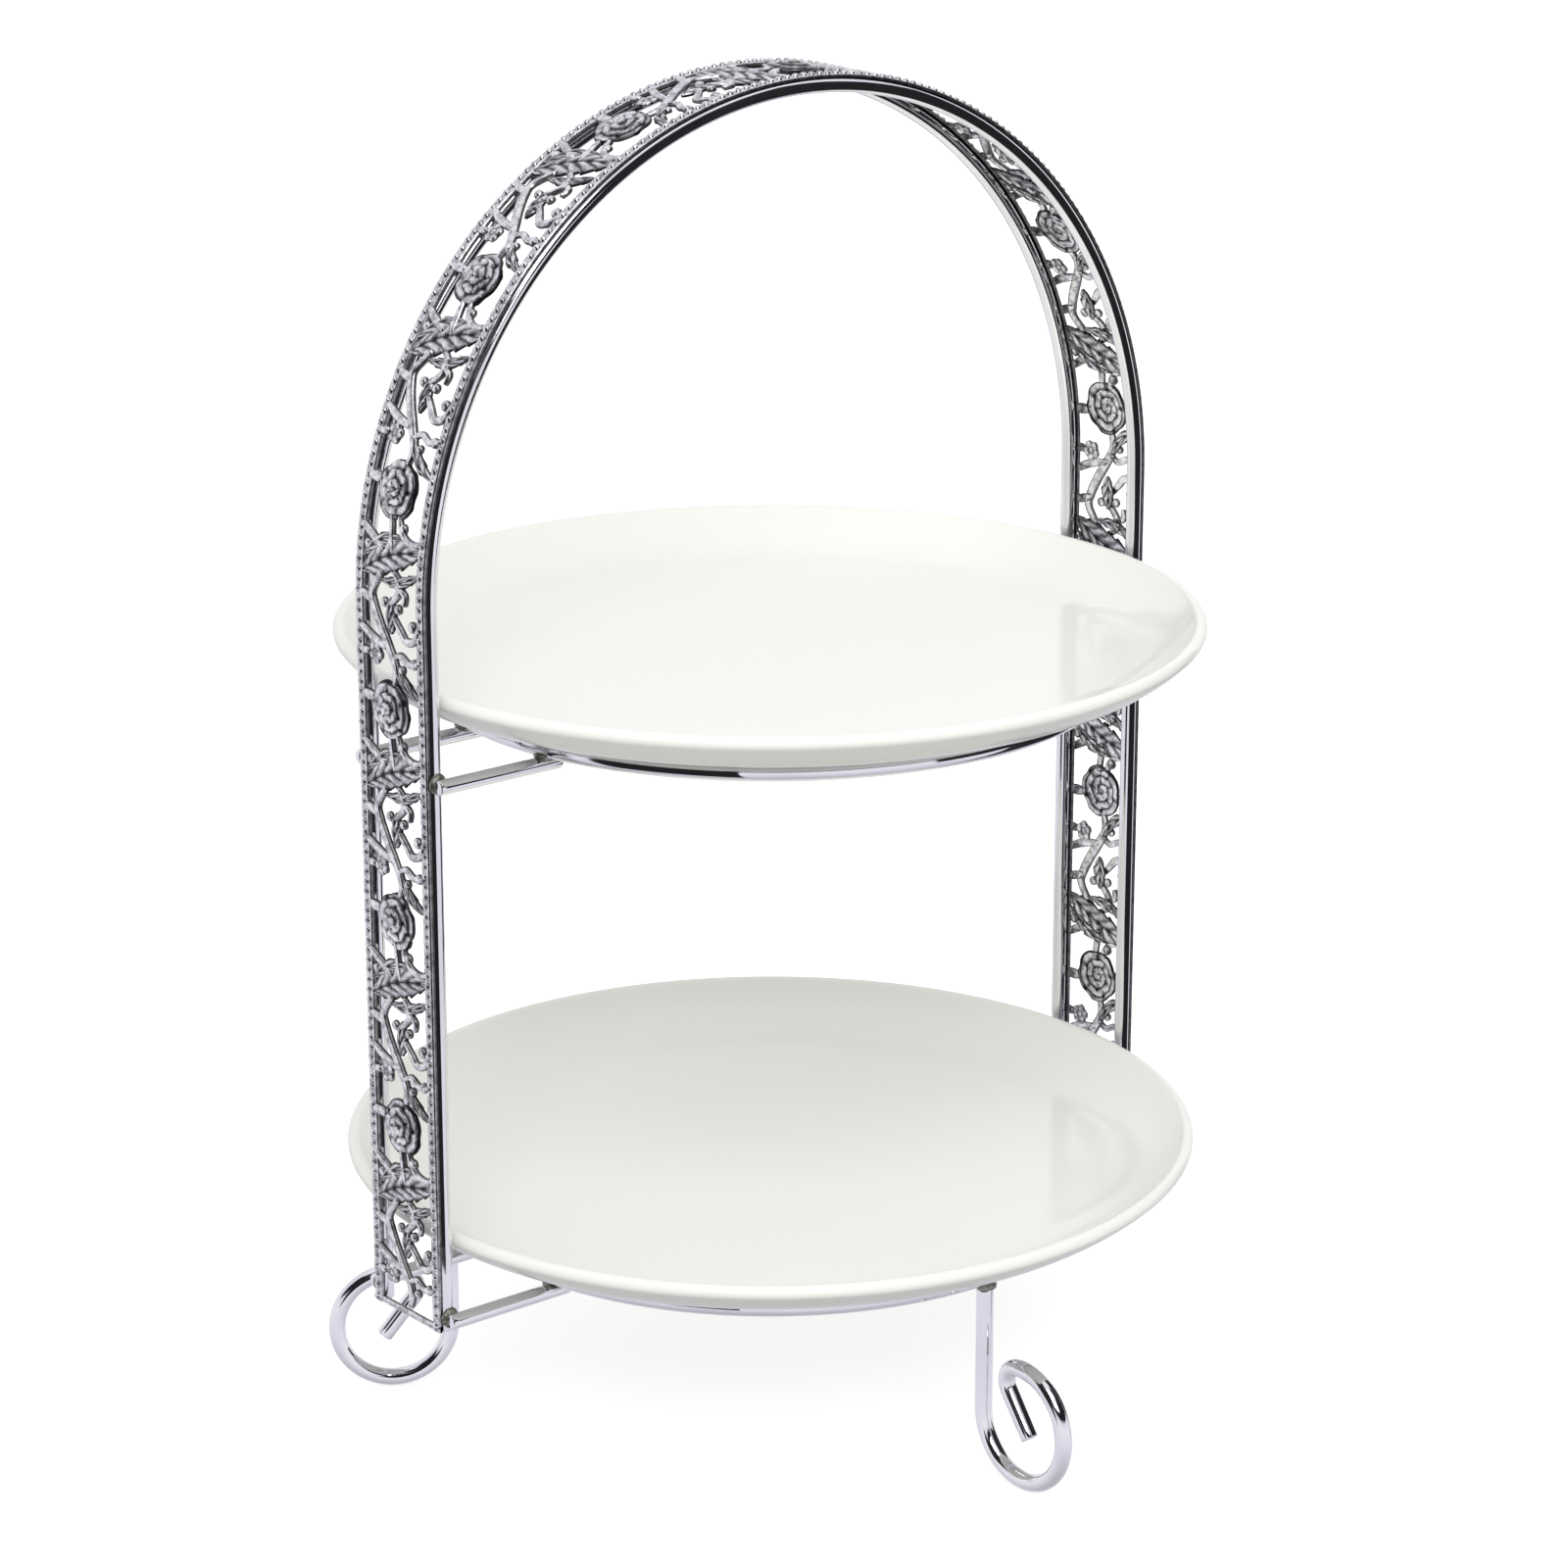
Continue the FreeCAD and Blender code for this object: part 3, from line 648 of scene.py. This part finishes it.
# One repeat of the vine. Places are (share of the repeat from the rose on, share of the half width),
# where +1 is the band's rear edge and -1 its front edge. Widths and radii are in millimetres.
# A stem is its places and its width.
STEMS = [
    ([(0.03, 0.46), (0.035, 0.86)], 2.6),
    (
        [(0.12, -0.12), (0.20, -0.16), (0.29, 0.04), (0.37, 0.25), (0.46, 0.44), (0.53, 0.49),
         (0.63, 0.20)],
        2.6,
    ),
    ([(0.355, 0.86), (0.31, 0.5), (0.28, 0.05)], 2.2),
    ([(0.24, 0.6), (0.235, 0.86)], 2.0),
    ([(0.24, -0.10), (0.265, -0.30), (0.24, -0.55), (0.255, -0.86)], 1.7),
    ([(0.48, 0.46), (0.51, 0.86)], 2.2),
    ([(0.42, -0.86), (0.36, -0.74), (0.34, -0.50), (0.38, -0.33), (0.43, -0.16)], 2.0),
    ([(0.49, -0.06), (0.55, -0.28), (0.60, -0.28), (0.64, -0.15)], 2.0),
    ([(0.58, -0.20), (0.55, -0.46), (0.50, -0.46)], 1.6),
    ([(0.82, 0.86), (0.77, 0.52), (0.73, 0.16)], 2.2),
    ([(0.80, -0.86), (0.785, -0.62), (0.80, -0.38), (0.85, -0.22), (0.89, -0.18)], 1.8),
    ([(0.72, -0.08), (0.80, 0.0), (0.90, 0.05)], 1.9),
]
# A leaf is its base, tip, width, number of teeth, and bow as a share of its length.
LEAVES = [
    ((0.08, -0.84), (0.235, -0.10), 3.2, 3, 0.10),
    ((0.35, -0.02), (0.52, -0.05), 4.6, 3, 0.0),
    ((0.60, 0.84), (0.76, -0.86), 8.4, 6, 0.06),
    ((0.67, 0.80), (0.80, -0.30), 3.4, 4, 0.10),
    ((0.585, 0.30), (0.655, -0.84), 3.0, 4, -0.08),
]
# A bud is its place and radius.
BUDS = [
    ((0.245, -0.68), 1.2), ((0.20, -0.34), 1.0), ((0.415, -0.66), 1.3), ((0.49, 0.14), 1.15),
    ((0.475, -0.26), 1.15), ((0.84, -0.30), 1.2), ((0.77, 0.0), 1.2), ((0.73, 0.66), 1.2),
]


def on_band(share, side, count):
    """Band coordinates of a place in a repeat. Repeat 1 starts at the first rose that fits whole."""
    along = MOTIF_START + (count - 1 + share) * MOTIF_REPEAT
    return along, side * BAND_HALF


def band_vine():
    """The roses, and the stems, leaves and buds between them, along the whole band."""
    roses, vine = Shell(), Shell()
    repeats = math.ceil((BAND_LENGTH - MOTIF_START) / MOTIF_REPEAT) + 1

    def fits(points, reach):
        return all(reach < point[0] < BAND_LENGTH - reach for point in points)

    for count in range(repeats):
        centre = on_band(0, 0, count)
        if fits([centre], ROSE_RADIUS + 0.1):
            rose(roses, centre, ROSE_RADIUS, 1.7 * count)
        centre = on_band(*FLOWER_PLACE, count)
        if fits([centre], FLOWER_RADIUS):
            flower(roses, centre, FLOWER_RADIUS, 5, count)
        for places, width in STEMS:
            points = [on_band(*place, count) for place in places]
            if fits(points, 1.0):
                stem(vine, points, width)
        for start, finish, width, teeth, bow in LEAVES:
            points = [on_band(*start, count), on_band(*finish, count)]
            if fits(points, 1.5):
                leaf(vine, *points, width, bow, teeth)
        for place, radius in BUDS:
            centre = on_band(*place, count)
            if fits([centre], radius):
                bud(vine, centre, radius)
    roses.piece("band_roses", BAND_CHROME, "band_chrome", place=bend_band, replaces=["lace_band"])
    vine.piece("band_vine", BAND_CHROME, "band_chrome", place=bend_band)


def band_edges():
    """The two solid edges, the closing strip at each end, and a row of beads along each edge."""
    edges, beads = Shell(), Shell()
    rail_middle = BAND_HALF - RAIL / 2
    along = np.linspace(0, BAND_LENGTH, 330)
    lines = [np.c_[along, np.full(len(along), side * rail_middle)] for side in (-1, 1)]
    half_widths = [RAIL / 2, RAIL / 2, END_STRIP_HALF, END_STRIP_HALF]
    for end in (END_STRIP_HALF, BAND_LENGTH - END_STRIP_HALF):
        lines.append(np.c_[np.full(12, end), np.linspace(-BAND_HALF, BAND_HALF, 12)])
    for line, half in zip(lines, half_widths):
        top = np.repeat(np.array([[0.0, 0.16, 0.2, 0.2, 0.2, 0.16, 0.0]]), len(line), 0)
        # Painted shade across each strip: at its sides and down its middle, and 0.75 on its back.
        dark = np.repeat(np.array([[0.2, 0.0, 0.1, 0.3, 0.1, 0.0, 0.2]]), len(line), 0)
        pressed_strip(edges, line, np.full(len(line), half), top, dark, SHEET - 0.2, 0, 0.75)
    polar = np.linspace(0, math.pi / 2, 5)[::-1][:, None]
    around = np.linspace(0, 2 * math.pi, 12, endpoint=False)[None]
    ring = BEAD_RADIUS * np.cos(math.pi / 2 - polar)
    out = SHEET - 0.25 + BEAD_RADIUS * np.sin(math.pi / 2 - polar)
    for side in (-1, 1):
        over = side * (rail_middle + 0.05)
        for step in range(int((BAND_LENGTH - 2) / BEAD_PITCH)):
            place = 1.6 + step * BEAD_PITCH
            loops = np.stack(
                [
                    place + ring * np.cos(around),
                    over + ring * np.sin(around),
                    out * np.ones_like(around),
                ],
                axis=2,
            )
            loops = loops[:-1]
            # Painted shade on the ring where each bead sits on the band.
            dark = np.zeros(loops.shape[:2])
            dark[0] = 0.85
            points, faces = capped(loops)
            beads.add(points, faces, np.append(dark.ravel(), (0.8, 0)))
    edges.piece("band_edges", BAND_CHROME, "band_chrome", place=bend_band)
    beads.piece("band_beads", BAND_CHROME, "band_chrome", place=bend_band)


# ---------------------------------------------------------------- plates


def plate(name, ring_radius):
    high = box_mm(f"{name}_plate")[1]
    rim_radius, top = high[0], high[2]
    lip_x, lip_z = rim_radius - PLATE_LIP, top - PLATE_LIP
    well_x, well_z = rim_radius - PLATE_CURVE_RUN, top - PLATE_DEPTH
    under_z = well_z - PLATE_WALL
    base_z = under_z - PLATE_FOOT_HEIGHT
    foot_out = ring_radius - PLATE_FOOT_INSET
    foot_in = foot_out - PLATE_FOOT_WIDTH
    slope = math.radians(PLATE_SLOPE)
    bend_x = ring_radius + PLATE_SLOPE_RUN
    bend_z = base_z + (bend_x - foot_out) * math.tan(slope)
    # The inside curve touches the flat well and the lip. The outside curve touches the sloped underside
    # and the lip.
    across, rise = lip_x - well_x, lip_z - well_z
    inner = (across**2 + rise**2 - PLATE_LIP**2) / (2 * (rise + PLATE_LIP))
    inner_end = math.degrees(math.atan2(rise - inner, across))
    normal = slope + math.pi / 2
    out, up = lip_x - bend_x, lip_z - bend_z
    reach = out * math.cos(normal) + up * math.sin(normal)
    outer = (out**2 + up**2 - PLATE_LIP**2) / (2 * (reach - PLATE_LIP))
    outer_centre = (bend_x + outer * math.cos(normal), bend_z + outer * math.sin(normal))
    outer_end = math.degrees(math.atan2(lip_z - outer_centre[1], lip_x - outer_centre[0]))
    edge = PLATE_FOOT_ROUNDING
    well = straight((0, well_z), (well_x, well_z), 6.0)
    body = np.vstack(
        [
            well[:-1],
            arc((well_x, well_z + inner), inner, -90, inner_end, 1.5)[:-1],
            arc((lip_x, lip_z), PLATE_LIP, 180 + inner_end, outer_end, 8.0)[:-1],
            arc(outer_centre, outer, outer_end, PLATE_SLOPE - 90, 1.5)[:-1],
            straight((bend_x, bend_z), (foot_out + edge, base_z + edge * math.tan(slope)), 3.0),
            straight((foot_out - edge, base_z), (foot_in + edge, base_z), 1.0),
            arc((foot_in + edge, base_z + edge), edge, -90, -180, 20)[1:],
            straight((foot_in, under_z - edge), (foot_in - edge, under_z), 0.3),
            straight((foot_in - 2, under_z), (0, under_z), 6.0),
        ]
    )
    shell = Shell()
    lathe(shell, body)
    piece = shell.piece(
        f"plate_{name}", PORCELAIN, "porcelain", body=f"{name}_plate_body", replaces=[f"{name}_plate"]
    )
    piece.data.materials.append(BISQUE)
    bare = base_z * MM + 0.00002
    for face in piece.data.polygons:
        if face.center.z < bare:
            face.material_index = 1


# ---------------------------------------------------------------- stage, light and camera

CAMERA_AZIMUTH = -39.1
CAMERA_DISTANCE = 1.044
CAMERA_HEIGHT = 0.4776
CAMERA_AIM = (0.0025, -0.002, 0.1454)
CAMERA_LENS = 108.4

FLOOR_HALF = 12.0
FLOOR_HEIGHT = -0.0002
FLOOR_GLOW = 0.45

# Strength of the even light, from below and from above
SKY_BELOW = 0.54
SKY_ABOVE = 0.80

KEY_PLACE = (-0.9, -1.3, 1.6)
KEY_AIM = (0, 0, 0.15)
KEY_SIZE = (1.2, 1.2)
KEY_WATTS = 22.0

# Dark cards: centre, radius, first and last degrees from the camera's side, bottom and top
DARK_CARDS = {
    "card_left": ((-ARCH_R, 0), 130, -50, 25, 4, 420),
    "card_right": ((ARCH_R, 0), 130, 8, 110, 4, 420),
    "card_front": ((0, 0), 420, 50, 95, 100, 800),
}


def stage():
    """A plain white floor that glows a little. Diffuse and mirror rays don't see it."""
    mesh = bpy.data.meshes.new("floor")
    count = 9
    steps = np.linspace(-FLOOR_HALF, FLOOR_HALF, count)
    points = [(x, y, FLOOR_HEIGHT) for y in steps for x in steps]
    corners = [row * count + column for row in range(count - 1) for column in range(count - 1)]
    mesh.from_pydata(points, [], [(c, c + 1, c + count + 1, c + count) for c in corners])
    nodes = Nodes("floor_white")
    tone = nodes.mottle(nodes.noise(1.5), 0.3, 0.7, (0.93, 0.93, 0.93), (0.95, 0.95, 0.95))
    nodes.drive("Base Color", tone)
    nodes.fix("Roughness", 0.9)
    nodes.fix("Specular IOR Level", 0.1)
    nodes.fix("Emission Color", (1.0, 1.0, 1.0, 1.0))
    nodes.fix("Emission Strength", FLOOR_GLOW)
    mesh.materials.append(nodes.material)
    floor = in_scene("floor", mesh)
    floor.visible_diffuse = False
    floor.visible_glossy = False


def sky_ramp(tree, height, stops):
    """A colour for each height in the sky, from 0.5 at the horizon to 1 overhead."""
    ramp = tree.nodes.new("ShaderNodeValToRGB")
    ends = ramp.color_ramp.elements
    for place, colour in stops[1:-1]:
        ends.new(place).color = (*colour, 1)
    for end, (place, colour) in ((ends[0], stops[0]), (ends[-1], stops[-1])):
        end.position = place
        end.color = (*colour, 1)
    tree.links.new(height, ramp.inputs["Fac"])
    return ramp.outputs["Color"]


def studio():
    """A soft white room. Mirror reflections also see a dark stretch over the camera's side of it."""
    world = bpy.data.worlds.new("studio")
    bpy.context.scene.world = world
    world.use_nodes = True
    tree = world.node_tree
    tree.nodes.clear()
    where = tree.nodes.new("ShaderNodeTexCoord").outputs["Generated"]
    split = tree.nodes.new("ShaderNodeSeparateXYZ")
    tree.links.new(where, split.inputs[0])
    height = map_range(tree, split.outputs["Z"], -1.0, 1.0, 0.0, 1.0)
    white, pale, lavender = (1.0, 1.0, 1.0), (0.90, 0.90, 0.93), (0.80, 0.79, 0.88)
    shade, black = (0.52, 0.52, 0.56), (0.012, 0.012, 0.02)
    back_stops = [
        (0.0, shade), (0.30, lavender), (0.46, pale), (0.62, pale), (0.76, lavender), (1.0, white)
    ]
    front_stops = [
        (0.0, shade), (0.30, lavender), (0.50, pale), (0.60, lavender), (0.66, black), (0.88, black),
        (0.93, lavender), (1.0, white),
    ]
    back = sky_ramp(tree, height, back_stops)
    front = sky_ramp(tree, height, front_stops)
    toward = tree.nodes.new("ShaderNodeVectorMath")
    toward.operation = "DOT_PRODUCT"
    turn = math.radians(CAMERA_AZIMUTH)
    toward.inputs[1].default_value = (math.sin(turn), -math.cos(turn), 0.0)
    tree.links.new(where, toward.inputs[0])
    share = map_range(tree, toward.outputs["Value"], 0.0, 0.3, 0.0, 1.0)
    mirrored = tree.nodes.new("ShaderNodeBackground")
    tree.links.new(mix_colours(tree, share, back, front), mirrored.inputs["Color"])
    even = tree.nodes.new("ShaderNodeBackground")
    even.inputs["Color"].default_value = (1.0, 1.0, 1.0, 1.0)
    strength = map_range(tree, split.outputs["Z"], -0.25, 0.25, SKY_BELOW, SKY_ABOVE)
    tree.links.new(strength, even.inputs["Strength"])
    mix = tree.nodes.new("ShaderNodeMixShader")
    rays = tree.nodes.new("ShaderNodeLightPath")
    tree.links.new(rays.outputs["Is Glossy Ray"], mix.inputs[0])
    tree.links.new(even.outputs[0], mix.inputs[1])
    tree.links.new(mirrored.outputs[0], mix.inputs[2])
    output = tree.nodes.new("ShaderNodeOutputWorld")
    tree.links.new(mix.outputs[0], output.inputs[0])


def lamp(name, place, aim, size, watts):
    light = bpy.data.lights.new(name, "AREA")
    light.shape = "RECTANGLE"
    light.size, light.size_y = size
    light.energy = watts
    stand = in_scene(name, light)
    stand.location = place
    stand.rotation_euler = look(np.array(place) - np.array(aim))


def look(away):
    """The turn that points an object's -Z along -away with its X level."""
    flat = math.hypot(away[0], away[1])
    return math.atan2(flat, away[2]), 0.0, math.atan2(away[1], away[0]) + math.pi / 2


def dark_card(name, centre, radius, first, last, bottom, top):
    """An upright curved black card that only mirror reflections see, in millimetres."""
    count = 25
    camera_side = 270 + CAMERA_AZIMUTH
    angles = np.radians(np.linspace(camera_side + first, camera_side + last, count))
    points = [
        ((centre[0] + radius * math.cos(a)) * MM, (centre[1] + radius * math.sin(a)) * MM, z * MM)
        for z in (bottom, top)
        for a in angles
    ]
    mesh = bpy.data.meshes.new(name)
    mesh.from_pydata(points, [], [(i, i + 1, i + count + 1, i + count) for i in range(count - 1)])
    nodes = Nodes(name)
    nodes.drive("Base Color", nodes.blend(nodes.noise(4.0), (0.008, 0.008, 0.01), (0.015, 0.015, 0.018)))
    nodes.fix("Roughness", 0.95)
    mesh.materials.append(nodes.material)
    card = in_scene(name, mesh)
    for way in ("camera", "diffuse", "shadow", "transmission", "volume_scatter"):
        setattr(card, f"visible_{way}", False)


def camera():
    turn = math.radians(CAMERA_AZIMUTH)
    data = bpy.data.cameras.new("photo_view")
    data.sensor_width = 36.0
    data.lens = CAMERA_LENS
    data.clip_end = 60.0
    view = in_scene("photo_view", data)
    across, depth = CAMERA_DISTANCE * math.sin(turn), -CAMERA_DISTANCE * math.cos(turn)
    view.location = (across, depth, CAMERA_HEIGHT)
    view.rotation_euler = look(np.array(view.location) - np.array(CAMERA_AIM))
    bpy.context.scene.camera = view


arch_wires()
tier("upper")
lower = tier("lower")
feet(*lower)
band_vine()
band_edges()
plate("upper", lower[0])
plate("lower", lower[0])
stage()
studio()
for card_name, card_shape in DARK_CARDS.items():
    dark_card(card_name, *card_shape)
lamp("soft_key", KEY_PLACE, KEY_AIM, KEY_SIZE, KEY_WATTS)
camera()
bpy.context.scene.view_settings.view_transform = "Standard"
